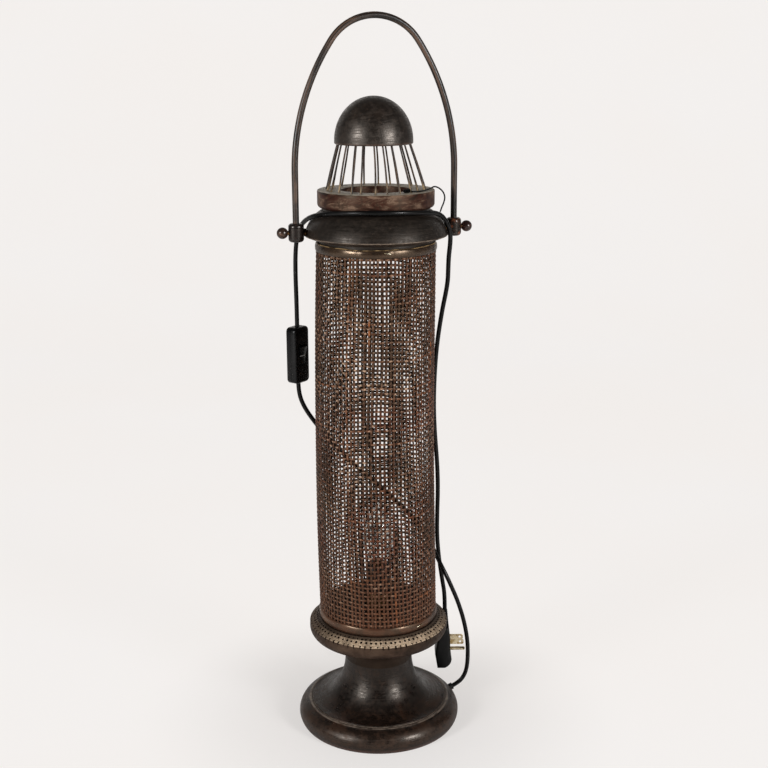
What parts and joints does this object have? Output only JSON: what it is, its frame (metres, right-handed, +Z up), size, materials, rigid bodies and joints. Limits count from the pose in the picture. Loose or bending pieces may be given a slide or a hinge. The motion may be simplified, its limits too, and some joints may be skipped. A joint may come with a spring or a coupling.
{
  "type": "woven cane lantern lamp",
  "caption": "Tall turned-wood lantern with a woven cane cylinder shade, pedestal foot, lift-off caged crown, swinging bail, inner bulb and a wound mains cord with switch and plug.",
  "frame": {"origin": "on the floor under the foot, on the turning axis", "axes": "+Z up along the turning axis, +X along the bail's pivot axis, to the side where the cord leaves"},
  "size_m": [0.2222, 0.187, 0.8015],
  "materials": {
    "turned_wood": "ebonised, satin, worn to brown on the edges",
    "lacquered_wood": "dark lacquer, satin to gloss",
    "cane": "aged dark cane, dusty",
    "rod_cane": "split cane, dull, with pale worn glints",
    "varnished_band": "varnished, glossy",
    "staple_wire": "tarnished bright wire",
    "pivot_brass": "tarnished",
    "lamp_brass": "plain",
    "holder_black": "moulded, satin",
    "bulb_glass": "clear",
    "cord_black": "satin sheath",
    "rubber_black": "matte",
    "switch_black": "gloss",
    "small_steel": "plain",
    "plug_black": "moulded, satin",
    "contact_brass": "bare",
    "tie_black": "satin"
  },
  "bodies": {
    "root": {"foot": "turned_wood", "gallery_plate": "turned_wood", "collar": "turned_wood", "finial_left": "lacquered_wood", "finial_right": "lacquered_wood", "cane_stakes": "cane", "cane_rows": "cane", "top_band": "varnished_band", "bottom_band": "varnished_band", "band_staples": "staple_wire", "pivot_pin_left": "pivot_brass", "pivot_pin_right": "pivot_brass", "nipple": "lamp_brass", "nipple_nut": "lamp_brass", "holder_cap": "lamp_brass", "bulb_cap": "lamp_brass", "holder_sleeve": "holder_black", "bulb_glass": "bulb_glass", "inner_flex": "cord_black", "cord_to_switch": "cord_black", "cord_to_plug": "cord_black", "cord_bush": "rubber_black", "plug_relief": "rubber_black", "switch_base": "switch_black", "switch_cover": "switch_black", "rocker_pin": "small_steel", "switch_screws": "small_steel", "plug_body": "plug_black", "plug_blades": "contact_brass", "plug_earth_pin": "contact_brass"},
    "bail": {"bail": "lacquered_wood", "hub_left": "lacquered_wood", "hub_right": "lacquered_wood"},
    "crown": {"crown_ring": "turned_wood", "crown_rods": "rod_cane", "dome_cap": "turned_wood", "tie_knot": "tie_black", "cord_tie": "tie_black"},
    "rocker": {"switch_rocker": "switch_black"}
  },
  "joints": [
    {"name": "bail_swing", "type": "hinge", "parent": "root", "child": "bail", "pos_m": [0, 0, 0.5768], "axis": [1, 0, 0], "range_deg": [-140, 140]},
    {"name": "crown_lift", "type": "slide", "parent": "root", "child": "crown", "axis": [0, 0, 1], "range_m": [0, 0.06]},
    {"name": "rocker_tilt", "type": "hinge", "parent": "root", "child": "rocker", "pos_m": [-0.07643, 0.04594, 0.433], "axis": [-0.766, -0.6428, 0], "range_deg": [0, 16]}
  ]
}
